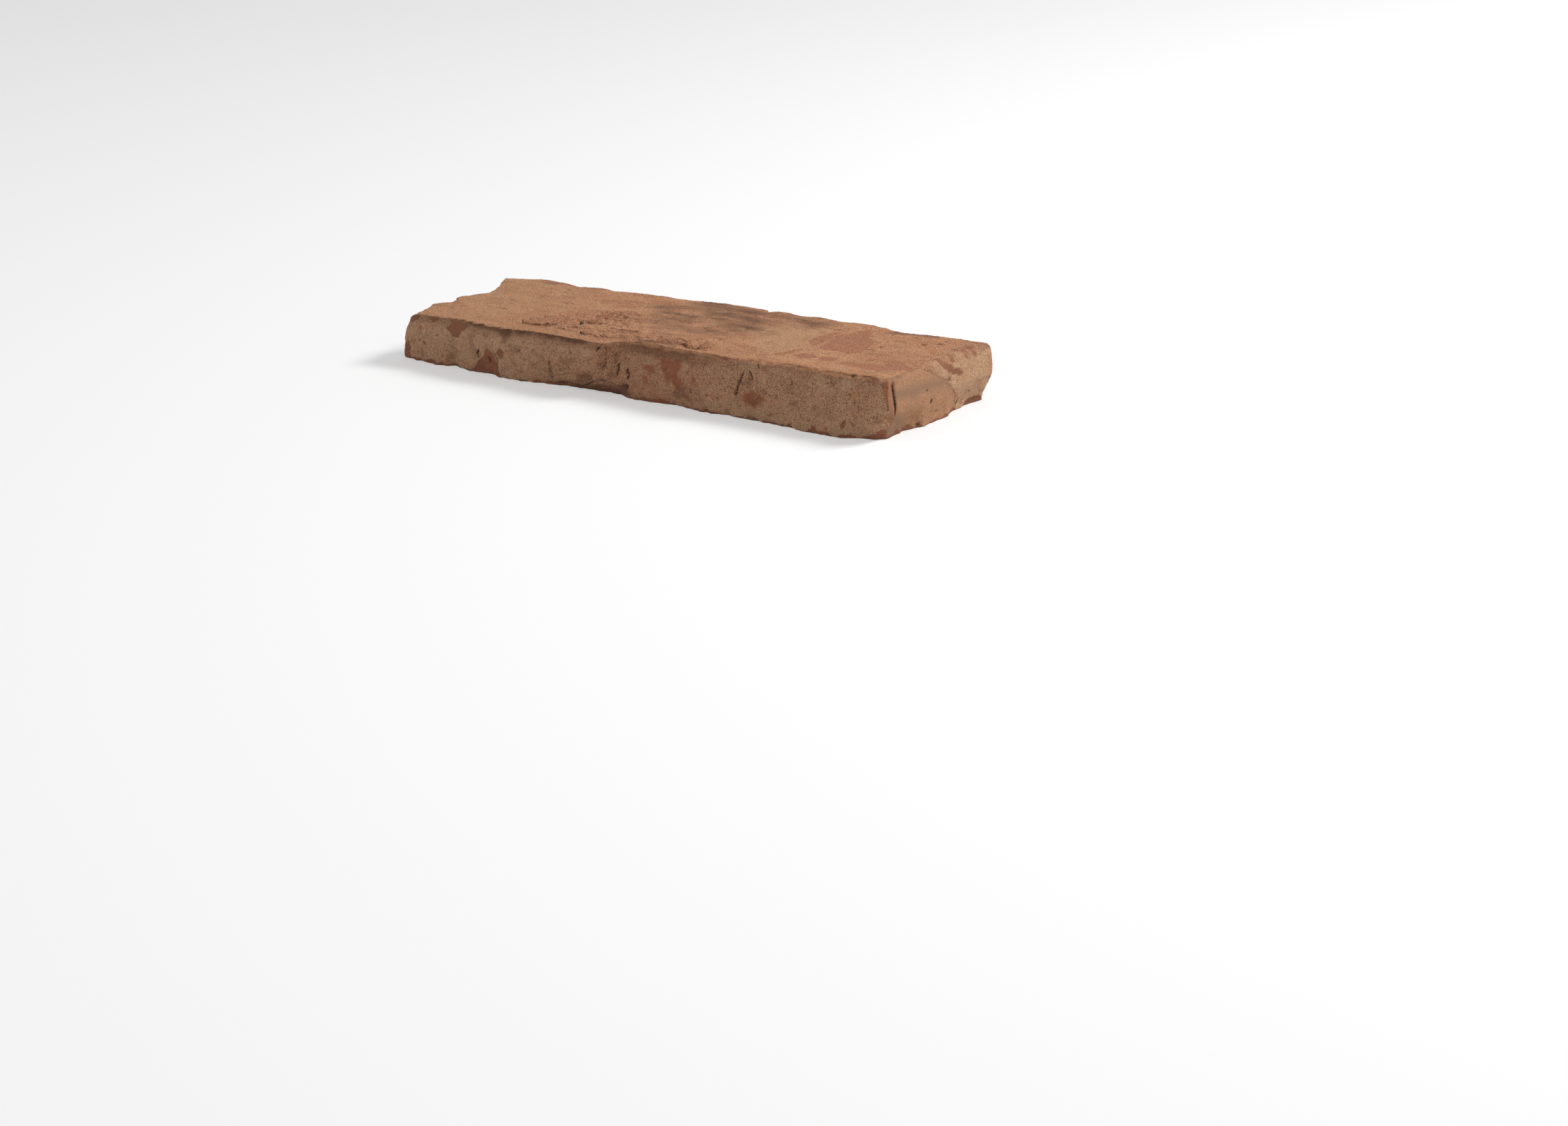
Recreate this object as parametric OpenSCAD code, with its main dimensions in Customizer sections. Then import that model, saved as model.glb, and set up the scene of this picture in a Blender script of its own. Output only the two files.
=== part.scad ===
// Brick slip: the hand-moulded face of an old brick, sawn off as a thin slice.
// The sawn underside lies at z = 0, the long moulded side faces -Y, the broken end is at -X
// and the whole end with its rolled corner is at +X. Millimetres.

/* [Overall size] */
// Length over both ends
slip_l = 256; // [200:1:300]
// Width between the two long sides, without their waves
slip_w = 68; // [50:1:110]
// Thickness at the broken end
thick_left = 20; // [15:0.2:30]
// Thickness at the whole end
thick_right = 24; // [15:0.2:30]
// How much thinner the slice is along the back than along the front
thick_drop = 1.2; // [0:0.2:4]

/* [Long sides] */
// How far the hand-pressed front side waves in and out
front_wave = 1.6; // [0.2:0.2:3]
// How far the torn back side waves in and out
back_wave = 2.4; // [0.2:0.2:3]
// How far the front side leans in at the top, from the tear to the whole end
front_lean = 5; // [1:0.5:9]
// Distance from the middle of the length to the tear in the front side, towards the broken end
tear_x = 12; // [0:1:40]
// How far the torn lip stands out past the front side
lip_out = 2.4; // [0.5:0.2:4]
// Length over which the lip swells before the tear
lip_l = 28; // [10:1:50]

/* [Broken end] */
// How far the broken end leans in at the top
end_lean = 6.5; // [1:0.5:9]
// Depth of the large flake at the top, from the leaning end
flake_d = 9; // [4:0.5:16]
// Depth of the large flake at the underside
flake_foot_d = 2; // [0.5:0.5:8]
// Radius of the large flake at the top
flake_r = 17; // [12:0.5:22]
// Distance of the large flake from the centre line, towards the back
flake_y = 8; // [0:1:12]
// Depth of the small nick, from the leaning end
nick_d = 4.5; // [2:0.5:8]
// Width of the small nick
nick_w = 9; // [4:0.5:12]
// Distance of the small nick from the centre line, towards the front
nick_y = 12; // [10:1:20]

/* [Whole end] */
// Radius of the roll at the back of the whole end
roll_r = 8; // [4:0.5:14]
// Length of the roll, from the back side forwards
roll_run = 36; // [20:1:48]
// Radius of the upright corner at the back of the whole end
corner_r = 3.5; // [2:0.5:10]
// How far the whole end is undercut at the underside
under_cut = 3.5; // [0.5:0.5:6]
// Height of that undercut
under_h = 12; // [4:1:14]

/* [Chips] */
// Length of the lower front corner chip, along the front side
chip_l = 9; // [4:1:20]
// Width of that chip, across the whole end
chip_w = 11; // [4:1:20]
// Height of that chip
chip_h = 7; // [3:1:12]
// Width of the notch in the back edge
notch_w = 5; // [2:0.5:10]
// Depth of the notch
notch_d = 3; // [1:0.5:6]
// Distance of the notch from the middle of the length, towards the whole end
notch_x = 14; // [0:1:40]
// Width of the spall in the lower front edge near the broken end
spall_w = 11; // [4:1:20]
// Depth of that spall
spall_d = 3; // [1:0.5:5]
// Distance of that spall from the broken end
spall_x = 32; // [20:1:60]

/* [Moulded face] */
// Length of the torn trough behind the lip
trough_l = 56; // [20:1:80]
// Depth of that trough
trough_d = 1.2; // [0.4:0.1:3]
// Radius to which the trough is hollowed
trough_r = 11; // [6:1:20]
// Distance of the trough from the middle of the length, towards the whole end
trough_x = 9; // [0:1:40]
// Distance of the trough from the front side
trough_in = 11; // [8:1:20]

/* [Hidden] */
half_l = slip_l / 2;
half_w = slip_w / 2;
thick_mid = (thick_left + thick_right) / 2;
// Reach of a cutting block, past every side of the slice
reach = 2 * slip_l;
// Slopes of the moulded face along and across the slice
slope_l = atan((thick_right - thick_left) / slip_l);
slope_w = atan(thick_drop / slip_w);
// Angle by which the broken end leans in
end_angle = atan(end_lean / thick_left);
$fn = 96;

// Waves of the long sides: [share of the length from the broken end, share of the wave]
front_marks = [[0.03, 0], [0.08, 0.3], [0.16, 0.8], [0.21, 0], [0.26, 0.9], [0.32, 0]];
front_marks_2 = [[0.5, -1], [0.55, -0.6], [0.66, 0], [0.7, -1], [0.8, -0.8], [0.9, 0.2], [0.96, 0]];
back_marks = [[0.97, 0.2], [0.85, -0.5], [0.75, 0.7], [0.7, 0.2], [0.66, 1], [0.62, 0.3], [0.58, 1],
    [0.49, 0.8], [0.45, 1], [0.36, 0.7], [0.24, -1], [0.21, 0], [0.17, -1.5], [0.12, -0.3], [0.05, -0.5]];

function along(share) = -half_l + share * slip_l;

// Outline of the slice, seen from above
module outline() {
    tear = -tear_x;
    polygon([
        [-half_l, -half_w + front_wave],
        for (m = front_marks) [along(m[0]), -half_w - m[1] * front_wave],
        [tear - lip_l, -half_w],
        [tear - lip_l / 4, -half_w - lip_out],
        [tear - lip_l / 7, -half_w - lip_out],
        [tear, -half_w + front_wave * 2],
        for (m = front_marks_2) [along(m[0]), -half_w - m[1] * front_wave],
        [half_l, -half_w + front_wave],
        [half_l, half_w - corner_r],
        [half_l - corner_r, half_w],
        for (m = back_marks) [along(m[0]), half_w + m[1] * back_wave],
        [-half_l, half_w - corner_r * 1.5]
    ]);
    // the upright corner at the back of the whole end is rounded
    translate([half_l - corner_r, half_w - corner_r]) circle(corner_r);
}

// Everything above the moulded face, which slopes along and across the slice
module above_face() {
    translate([0, 0, thick_mid])
        rotate([-slope_w, -slope_l, 0])
            translate([-reach / 2, -reach / 2, 0])
                cube([reach, reach, reach]);
}

// What the lean of the front side takes off, from the tear to the whole end
module front_lean_cut() {
    out = lip_out + front_wave * 2;
    translate([-tear_x, -half_w, 0])
        rotate([90, 0, 90])
            linear_extrude(reach)
                polygon([[-out, thick_mid / 6], [0, thick_mid / 6], [front_lean, thick_mid],
                    [front_lean * 2, thick_mid * 2], [-out, thick_mid * 2]]);
}

// Puts its shapes in the plane of the broken end, which leans in at the top
module at_broken_end(y) {
    translate([-half_l, y, 0])
        rotate([0, end_angle, 0])
            translate([0, 0, -thick_mid])
                children();
}

// What the lean of the broken end takes off
module end_lean_cut() {
    at_broken_end(0)
        translate([-reach, -reach / 2, 0])
            cube([reach, reach, thick_mid * 4]);
}

// A shell-shaped flake broken out of the end, deep at the top and shallow at the underside
module flake() {
    spread = (flake_d - flake_foot_d) / thick_mid;
    at_broken_end(flake_y)
        translate([flake_d - flake_r, 0, 0])
            cylinder(h = thick_mid * 4, r1 = flake_r - spread * thick_mid * 2, r2 = flake_r + spread * thick_mid * 2);
}

// A small nick in the broken end, from the face to the underside
module nick() {
    at_broken_end(-nick_y)
        linear_extrude(thick_mid * 4)
            polygon([[-nick_d, -nick_w / 2], [0, -nick_w / 2], [nick_d, -nick_w / 8], [nick_d, nick_w / 8],
                [0, nick_w / 2], [-nick_d, nick_w / 2]]);
}

// The roll between the moulded face and the whole end, growing towards the back
module roll_cut() {
    slant = roll_r * (sqrt(2) - 1) / roll_run;
    over = back_wave * 2;
    translate([half_l - roll_r, half_w - roll_run, thick_right - thick_drop / 2 - roll_r])
        difference() {
            cube([roll_r * 2, roll_run + over, roll_r * 2]);
            rotate([-90, 0, 0])
                cylinder(h = roll_run + over, r1 = roll_r * sqrt(2), r2 = roll_r - slant * over);
        }
}

// The undercut of the whole end
module under_cut_wedge() {
    translate([half_l, reach / 2, 0])
        rotate([90, 0, 0])
            linear_extrude(reach)
                polygon([[-under_cut, 0], [0, under_h], [under_cut, under_h], [under_cut, 0]]);
}

// A chip off the lower front corner: a flat break that meets the three edges
// at its length, its width and its height
module lower_chip() {
    n = [1 / chip_l, 1 / chip_w, 1 / chip_h];
    d = 1 / norm(n);
    translate([half_l - under_cut, -half_w, 0])
        mirror([1, 0, 0])
            rotate([0, acos(n[2] * d), atan2(n[1], n[0])])
                translate([-reach / 2, -reach / 2, d - reach])
                    cube(reach);
}

// A notch in the back edge, from the underside to the face
module notch() {
    translate([notch_x, half_w + back_wave, 0])
        linear_extrude(thick_mid * 2)
            polygon([[-notch_w / 2, 0], [0, -notch_d - back_wave / 2], [notch_w / 2, 0], [notch_w / 2, notch_d],
                [-notch_w / 2, notch_d]]);
}

// A spall in the lower front edge
module spall() {
    translate([-half_l + spall_x, -half_w - front_wave, 0])
        rotate([0, 90, 0])
            cylinder(h = spall_w, r = spall_d, center = true);
}

// The torn trough in the moulded face: a shallow hollow that runs out at both ends
module trough() {
    edge = trough_r - trough_d;
    translate([trough_x, trough_in - half_w, thick_mid + trough_r - trough_d])
        rotate([-slope_w, 90 - slope_l, 0])
            rotate_extrude()
                polygon([[0, -trough_l / 2], [edge, -trough_l / 2], [trough_r, -trough_l / 6],
                    [trough_r, trough_l / 6], [edge, trough_l / 2], [0, trough_l / 2]]);
}

module brick_slip() {
    color([0.68, 0.5, 0.36])
        difference() {
            linear_extrude(thick_mid * 2) outline();
            above_face();
            front_lean_cut();
            end_lean_cut();
            flake();
            nick();
            roll_cut();
            under_cut_wedge();
            lower_chip();
            notch();
            spall();
            trough();
        }
}

brick_slip();
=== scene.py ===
# Brick slip: a thin slice sawn off the face of an old hand-moulded brick.
# The shapes are worked out in millimetres and stored in metres.
import math
import bpy
import numpy as np
from mathutils import Matrix, Vector


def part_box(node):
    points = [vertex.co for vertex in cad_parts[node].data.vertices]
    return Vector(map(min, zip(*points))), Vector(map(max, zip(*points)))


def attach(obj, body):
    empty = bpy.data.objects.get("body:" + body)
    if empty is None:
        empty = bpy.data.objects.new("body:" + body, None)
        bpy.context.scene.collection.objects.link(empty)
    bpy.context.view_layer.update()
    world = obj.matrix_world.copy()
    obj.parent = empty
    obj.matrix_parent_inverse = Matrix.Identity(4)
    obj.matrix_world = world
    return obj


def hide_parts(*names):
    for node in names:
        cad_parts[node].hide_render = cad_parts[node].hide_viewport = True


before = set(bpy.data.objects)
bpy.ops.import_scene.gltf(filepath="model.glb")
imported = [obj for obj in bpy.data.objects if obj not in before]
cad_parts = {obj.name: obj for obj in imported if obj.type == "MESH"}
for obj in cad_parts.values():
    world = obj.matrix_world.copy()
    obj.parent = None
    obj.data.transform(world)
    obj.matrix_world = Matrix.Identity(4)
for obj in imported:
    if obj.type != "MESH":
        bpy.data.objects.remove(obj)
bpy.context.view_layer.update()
MM = 0.001

# The slice in the photograph's frame of 2268 x 1629 pixels
IMAGE_W = 2268
FOCAL_PX = 5000
CAMERA_AT = (886.4, -996.9, 389.8)
CAMERA_AZIMUTH = 40.17
CAMERA_DROP = 19.46
CAMERA_ROLL = -3.59

# Fired clay and baked-on sand, by the hex colours that the eye sees in plain light
CLAY_BROWN = "#8a5a42"
CLAY_SMEAR = "#a97557"
# dark clay; the same colour is also painted as shade under the arris, under the lip, along the foot and on the grains
# there
DARK_CLAY_AND_SHADE = "#6a4531"
CLAY_RED = "#995d40"
CLAY_ORANGE = "#b7734a"
FILM_TAN = "#cf946c"
FILM_PALE = "#c7976f"
FILM_ROSE = "#be805b"
RUBBED_TAN = "#957053"
RUBBED_RED = "#9f7052"
SAND_PALE = "#caa684"
SAND_TAN = "#c69875"
SAND_BROWN = "#7c503a"
SOOT = "#7a5742"
ASH_GREY = "#85654e"
# near-black: painted shade in the cracks and along the flake steps, and dark specks in the sawn face
CRACK_SHADE_AND_DARK_SPECK = "#2c180f"
LIME_SPECK = "#d8c2a4"

# Mesh of the slice: cells along the length, across the width and up the side. They are
# closer together round the torn part of the face: (share of the cells, millimetres)
CELLS_L = 440
CELLS_W = 108
CELLS_H = 41
CELL_RUN = [(0, -128), (0.18, -70), (0.66, 35), (1, 128)]
CELL_SPAN = [(0, 0), (0.5, 0.38), (1, 1)]

# Outlines, in millimetres from the middle of the slice: the long front side at the
# underside and at the moulded face, and the torn back side at the moulded face
FRONT_FOOT = [
    (-127, -32.6), (-118, -33.7), (-106, -34.7), (-99, -34.2), (-98, -31.7), (-93, -33), (-85, -35.5),
    (-73, -34), (-67, -35.8), (-54, -35.6), (-44, -34), (-29, -31.4), (-16, -30.4), (-4, -30.5),
    (3, -33.2), (11, -32.8), (24, -31.4), (37, -32.5), (43, -33.6), (51, -32.2), (70, -32),
    (89, -33), (101, -34.4), (111, -34.1), (116, -33.4), (120, -30.5), (127, -29),
]
FRONT_TOP = [
    (-127, -35), (-118, -34.7), (-104, -33.3), (-86, -35.3), (-72, -35.9), (-61, -34.6), (-46, -34.2),
    (-37, -35), (-26, -35.6), (-16, -36), (-12, -33.5), (-9, -30), (0, -29.2), (8, -28.8), (20, -29.6),
    (36, -30.5), (45, -30.7), (54, -28.9), (75, -27.6), (94, -27.4), (107, -28.3), (116, -27.2),
    (122, -29), (127, -30),
]
BACK_TOP = [
    (-128, 27.5), (-121, 31), (-114, 34.2), (-97, 33.3), (-88, 30.4), (-77, 33.4), (-69, 31.6), (-59, 32.8),
    (-50, 35), (-40, 35), (-28, 34.6), (-16, 36), (-6, 35.8), (8, 36.2), (11.5, 35.6), (12.6, 32.4), (14.6, 33),
    (16.5, 35.8), (23, 36), (30, 34.6), (40, 36), (52, 34.4), (61, 35.4), (73, 34.6), (82, 32.4), (88, 32),
    (102, 33.4), (112, 34.2), (128, 33.6),
]
# The broken end at the moulded face: (across the width, along the length)
BROKEN_TOP = [
    (-36, -117.5), (-28, -119.6), (-23, -119.9), (-19.5, -122), (-16, -120.6), (-14, -117), (-10.5, -116.5),
    (-8.5, -117.5), (-6, -120.4), (-2, -118.2), (1, -116.2), (4, -113.6), (8, -112.5), (12, -115), (17, -117.4),
    (27, -124.2), (30, -123.6), (36, -120),
]
BROKEN_FOOT = [(-36, -128), (-28, -127.6), (-20, -126.4), (-12, -123.5), (-4, -126), (6, -123), (14, -125.5), (26, -127), (36, -125)]
# The whole end: (across the width, along the length), at the underside and at half height
WHOLE_FOOT = [(-36, 116), (-31, 119.5), (-26, 122), (-16, 121), (-12, 122), (-8, 124), (8, 124.4), (15, 122), (23, 122), (36, 124.6)]
WHOLE_WAIST = [(-36, 125.2), (-25, 125.8), (10, 125.8), (22, 126.6), (36, 128)]

# Thickness at the middle, and how much it grows along the length and across the width
THICK = 21.6
THICK_GAIN_L = 3.1
THICK_GAIN_W = -1.2


def lattice(cells, seed):
    """One fixed random number from 0 to 1 for each whole-numbered cell."""
    n = cells[..., 0] * 374761393 + cells[..., 1] * 668265263 + cells[..., 2] * 1442695041 + seed * 974634777
    n = (n ^ (n >> 13)) * 1274126177
    n = (n ^ (n >> 16)) * 374761393
    return ((n ^ (n >> 15)) & 0xFFFFF) / 0xFFFFF


def noise(points, size, seed, octaves=3):
    """Soft random heights from about -1 to 1, in cells of the given size in millimetres."""
    total = np.zeros(len(points))
    weight = 1.0
    for octave in range(octaves):
        place = points / (np.array(size, float) / 2**octave) + 17.3 * octave
        low = np.floor(place).astype(np.int64)
        part = place - low
        part = part * part * (3 - 2 * part)
        layer = 0
        for corner in np.ndindex(2, 2, 2):
            share = np.prod(np.where(np.array(corner) == 1, part, 1 - part), axis=1)
            layer = layer + share * lattice(low + np.array(corner), seed + octave)
        total += weight * (2 * layer - 1)
        weight *= 0.5
    return total / (2 - 2 * weight)


def smooth(low, high, value):
    """From 0 at low to 1 at high, with a soft start and end."""
    t = np.clip((value - low) / (high - low), 0, 1)
    return t * t * (3 - 2 * t)


def window(value, low, high, soft):
    """1 between low and high, falling to 0 over the soft distance."""
    return smooth(low - soft, low, value) * (1 - smooth(high, high + soft, value))


def follow(line, at, blur=1.0):
    """Reads an outline at the given places, with its corners softened over a few millimetres."""
    line = np.array(line, float)
    return sum(np.interp(at + step, line[:, 0], line[:, 1]) for step in (-blur, 0, blur)) / 3


def off_line(a, b, points):
    """Distance of each place from a drawn line, its sign by side, and how far along it that is, 0 to 1."""
    best = np.full(len(a), 1e9)
    side, along = np.ones(len(a)), np.zeros(len(a))
    steps = max(len(points) - 1, 1)
    for k in range(steps):
        ax, ay = points[k]
        bx, by = points[min(k + 1, len(points) - 1)]
        run = (bx - ax) ** 2 + (by - ay) ** 2 or 1e-9
        t = np.clip(((a - ax) * (bx - ax) + (b - ay) * (by - ay)) / run, 0, 1)
        far = np.hypot(a - ax - t * (bx - ax), b - ay - t * (by - ay))
        near = far < best
        best = np.where(near, far, best)
        side = np.where(near, np.where((bx - ax) * (b - ay) > (by - ay) * (a - ax), 1, -1), side)
        along = np.where(near, (k + t) / steps, along)
    return best, side, along


def depth_in(a, b, shapes):
    """How far inside any of some drawn outlines each place lies, in millimetres; below 0 outside."""
    best = np.full(len(a), -9.0)
    for shape in shapes:
        far = off_line(a, b, shape + shape[:1])[0]
        inside = np.zeros(len(a), bool)
        for (x1, y1), (x2, y2) in zip(shape, shape[1:] + shape[:1]):
            if y1 != y2:
                inside ^= ((y1 > b) != (y2 > b)) & (a < (x2 - x1) * (b - y1) / (y2 - y1) + x1)
        best = np.maximum(best, np.where(inside, far, -far))
    return best


def near_spot(points, middle, reach):
    """How far inside an ellipsoid each point lies, in millimetres; below 0 outside."""
    far = np.linalg.norm((points - np.array(middle)) / np.array(reach), axis=1)
    return (1 - far) * min(reach)


def grid_box():
    """A box surface of even cells, without its underside, as places from 0 to 1 and its quads."""
    index = np.full((CELLS_L + 1, CELLS_W + 1, CELLS_H + 1), -1)
    shell = np.zeros(index.shape, bool)
    shell[0], shell[-1] = True, True
    shell[:, 0], shell[:, -1] = True, True
    shell[:, :, -1] = True
    index[shell] = np.arange(shell.sum())
    places = np.argwhere(shell) / np.array([CELLS_L, CELLS_W, CELLS_H])

    def quads(sheet, turned):
        a, b, c, d = sheet[:-1, :-1], sheet[1:, :-1], sheet[1:, 1:], sheet[:-1, 1:]
        order = (a, d, c, b) if turned else (a, b, c, d)
        return np.stack([part.ravel() for part in order], axis=1)

    faces = np.concatenate([
        quads(index[:, :, -1], False),
        quads(index[:, 0, :], False),
        quads(index[:, -1, :], True),
        quads(index[0], True),
        quads(index[-1], False),
    ])
    rim = np.concatenate([index[:-1, 0, 0], index[-1, :-1, 0], index[:0:-1, -1, 0], index[0, :0:-1, 0]])
    return places, faces, rim[::-1]


def normals_of(points, faces):
    """Each vertex's normal, from the quads round it."""
    a, b, c, d = (points[faces[:, k]] for k in range(4))
    face = np.cross(c - a, d - b)
    out = np.zeros_like(points)
    for k in range(4):
        np.add.at(out, faces[:, k], face)
    return out / np.maximum(np.linalg.norm(out, axis=1), 1e-9)[:, None]


def round_edge(near_a, near_b, radius):
    """Bends the square edge between two faces into a round one. Takes and gives the depths below both."""
    qa, qb = radius - near_a, radius - near_b
    inside = (qa > 0) & (qb > 0)
    scale = np.where(inside, np.minimum(1, radius / np.maximum(np.hypot(qa, qb), 1e-6)), 1)
    return np.where(inside, radius - qa * scale, near_a), np.where(inside, radius - qb * scale, near_b)


def face_height(x, y):
    """Height of the moulded face over the underside, before its fine relief."""
    z = THICK + THICK_GAIN_L * x / 250 + THICK_GAIN_W * y / 68
    front = y - follow(FRONT_TOP, x)
    # the lip that the mould pressed up along the front edge, and the torn trough behind it
    z = z + 0.7 * window(x, -6, 40, 12) * np.exp(-((front / 2.4) ** 2))
    z = z - 0.9 * window(x, -4, 30, 8) * np.exp(-(((front - 7) / 3.4) ** 2))
    # the smooth swell along the front edge at the whole end
    z = z + 0.4 * smooth(48, 70, x) * np.exp(-(((front - 3) / 3.0) ** 2))
    return z


def main_shape(places):
    """The slice's main form: outlines, thickness, the broken end, the whole end and its roll."""
    s, t, r = places.T
    x = follow(CELL_RUN, s, 0.02)
    x = np.where((s > 0.02) & (s < 0.98), x, np.interp(s, *zip(*CELL_RUN)))
    t = np.interp(t, *zip(*CELL_SPAN))
    half = np.stack([x, 68 * (t - 0.5), 22 * r], axis=1)
    foot, top = follow(FRONT_FOOT, x), follow(FRONT_TOP, x)
    # the side bellies out between the two, is folded over itself before the tear,
    # and is hollow under the lip
    belly = 0.5 * np.sin(math.pi * r) + 1.3 * window(x, -28, -6, 4) * window(r, 0.1, 0.19, 0.08)
    belly = belly - 1.2 * window(x, -2, 40, 10) * window(r, 0.82, 0.92, 0.07)
    belly = belly + 0.6 * window(x, -6, 60, 10) * window(r, 0.2, 0.6, 0.2)
    rough_rim = np.maximum((1 - r) ** 4, 0.9 * r**8)
    front = foot + (top - foot) * r - belly + (0.9 * rough_rim + 0.15) * noise(half, (3.2, 3.2, 4), 71, 3)
    back = follow(BACK_TOP, x, 0.6) + 0.5 - 1.6 * (1 - r) ** 2 + 0.9 * noise(half, (9, 9, 16), 11) * (1 - r * r)
    back = back + 1.6 * smooth(108, 124, x) * np.sin(math.pi * np.clip(r * 1.15 - 0.15, 0, 1))
    y = front + (back - front) * t
    high = face_height(x, y)
    z = high * r
    broken = follow(BROKEN_FOOT, y) * (1 - r) + follow(BROKEN_TOP, y, 0.4) * r
    broken = broken + 1.6 * noise(half, (7, 7, 7), 21) * np.sin(math.pi * np.clip(r, 0.02, 0.98))
    broken = broken - 1.6 * np.sin(math.pi * r) * smooth(-24, -34, y)
    waist = follow(WHOLE_WAIST, y)
    whole = follow(WHOLE_FOOT, y)
    whole = whole + (waist - whole) * smooth(0, 0.55, r) + 0.8 * (1 - r) ** 4 * noise(half, (3.2, 3.2, 4), 72, 3)
    x = broken + (whole - broken) * (x + 128) / 256
    # depths below each face, for the rounded edges
    left, right = x - broken, whole - x
    near, far = y - front, back - y
    down = high - z
    wear = 1 + 0.5 * noise(half, (12, 12, 12), 31)
    far, right = round_edge(far, right, 3.2 + 0 * x)
    near, right = round_edge(near, right, 0.8 * wear + 2.5 * smooth(0.3, 0, r))
    near, left = round_edge(near, left, 1.2 * wear)
    far, left = round_edge(far, left, 2.4 * wear)
    roll = 1.6 + 4.6 * smooth(-4, 14, y) - 2.0 * smooth(24, 33, y)
    down, right = round_edge(down, right, roll)
    down, near = round_edge(down, near, wear * (0.9 + 0.8 * smooth(-40, -60, x) + 0.9 * smooth(45, 60, x)))
    down, far = round_edge(down, far, 1.1 * wear)
    down, left = round_edge(down, left, 0.8 * wear + 2.4 * smooth(-20, -30, y))
    x = np.where(x < 0, broken + left, whole - right)
    y = np.where(t < 0.5, front + near, back - far)
    z = high - down
    return np.stack([x, y, z], axis=1)


# Where the sand has come away and the bare clay shows, as outlines in millimetres.
# On the front side: (along the length, up from the underside)
FRONT_BARE = [
    [(-119, 20.6), (-113.5, 21), (-113, 19.5), (-115, 18), (-118.5, 16.5), (-121, 16.5)],
    [(-108, 20.8), (-101.5, 21.5), (-102.5, 20), (-104.5, 18.5), (-107, 18), (-107.5, 19.5)],
    [(-98.5, 20.5), (-89, 22.5), (-88.5, 20.5), (-86.5, 20), (-86.5, 18.5), (-90.5, 16), (-93, 13), (-95.5, 12.5),
     (-99.5, 16), (-97, 19)],
    [(-116, 15), (-113, 16), (-113, 14.5), (-114.5, 13.5)],
    [(-126, 7.5), (-122, 7.5), (-121.5, 4.5), (-123, 3), (-122, 0), (-127, 0)],
    [(-76, 11), (-73, 10), (-71.5, 6.5), (-69.5, 2), (-68.5, 0.5), (-69, -1), (-87, -1), (-83.5, 2.5), (-80.5, 5.5),
     (-78.5, 6.5), (-77.5, 9.5)],
    [(-71, 10), (-68.5, 12.5), (-65.5, 11), (-67, 8), (-69.5, 7.5)],
    [(3, -0.5), (3, 0.5), (9, 1.2), (14, 2), (19.5, 1), (20, -0.5)],
    [(41, 23), (48, 25), (124, 26), (120, 22.8), (98, 22.8), (76, 22.6), (62, 22.4), (48, 21.9)],
    [(113, 22.5), (118, 24), (119, 23), (118, 22), (115, 21.6)], [(61.5, 7.5), (64, 10), (65, 9), (62.5, 6), (60.5, 6.5)],
    [(104, 5), (106, 7), (107, 7), (106, 4), (105, 2.5)], [(108.5, 6.5), (110, 4.5), (110.5, 5)],
    [(87.5, 4.5), (90, 5), (90, 4), (89, 3.5)], [(90.5, 3), (93, 3), (93.5, 1), (91.5, 0.6)],
    [(122.6, 23), (127, 23), (127, 10), (125, 12), (124, 17.5)], [(113, -1), (116, 1.8), (121, 4.4), (127, 3), (127, -1)],
]
# Where the front side is darker: a band under the arris with its ragged lower edge, partly painted shade under the
# overhang and partly darker sand, the strip along the fold at the foot and a few spots
FRONT_DARK = [
    [(-88, 20.5), (-88, 23), (-20, 23), (-20, 20.6), (-26, 20), (-38, 19.9), (-47.5, 20.3), (-55, 19.5), (-60, 19.5),
     (-63, 17.5), (-65.5, 15), (-68, 14), (-66.5, 17), (-68.5, 19.5), (-75, 19.5), (-85, 19.7)],
    [(-62.5, 13.5), (-60.5, 13.5), (-60.5, 12), (-62, 12)], [(-61.5, 8), (-59.5, 8), (-59.5, 6), (-61, 6)],
    [(-41.5, 1), (-27, 1), (-19.5, 3.6), (-12.5, 4), (-5.5, 3.5), (-0.5, 1.5), (-6, -0.5), (-41, -0.5)], [(24, 8), (28, 9), (27, 5), (22, 3), (21, 5)],
    [(-30, 6), (-22, 8), (-21, 4.5), (-27, 3)],
]
# Where iron has reddened the sand of the front side
FRONT_RUSTY = [
    [(5.5, 14), (8, 15.5), (11.5, 15), (11.5, 12), (9.5, 11), (7.5, 12.5)],
    [(14.5, 17.5), (24, 19), (25, 16), (23.5, 13), (25.5, 10), (22, 6), (20.5, 10), (18, 9), (15, 14.5)],
    [(31.5, 12.5), (33, 13), (34.5, 10), (33, 9.5)], [(57, 9), (62, 11), (66, 9), (62, 5), (58, 6)],
    [(6, 10), (8, 9.5), (7, 7.5)], [(27, 5), (30, 4), (28, 2)],
]
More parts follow.
